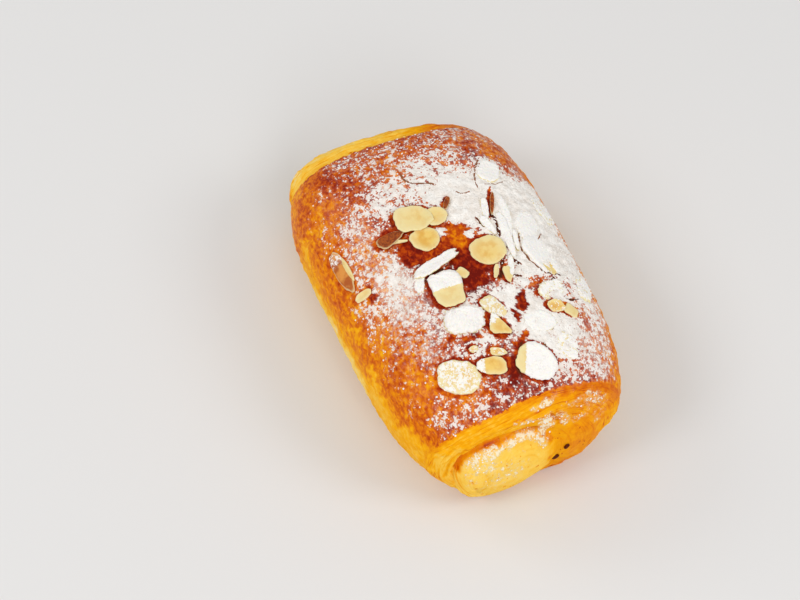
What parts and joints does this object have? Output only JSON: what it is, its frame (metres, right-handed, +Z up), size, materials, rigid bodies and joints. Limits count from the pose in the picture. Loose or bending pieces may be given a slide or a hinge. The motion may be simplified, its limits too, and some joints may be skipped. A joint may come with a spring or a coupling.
{
  "type": "almond croissant",
  "caption": "Short thick roll of laminated pastry with a glazed brown crown, a core that swells out of its ends, flaked almonds and a dusting of icing sugar.",
  "frame": {"origin": "centre of the pastry's box, on the surface that it lies on", "axes": "+X along the roll to the end with the swollen core, +Y across it, +Z up"},
  "size_m": [0.1284, 0.0802, 0.0506],
  "materials": {
    "crust": "egg-glazed baked crust, mahogany on the crown to pale yellow at the base"
  },
  "bodies": {
    "root": {"croissant": "crust"}
  },
  "joints": []
}
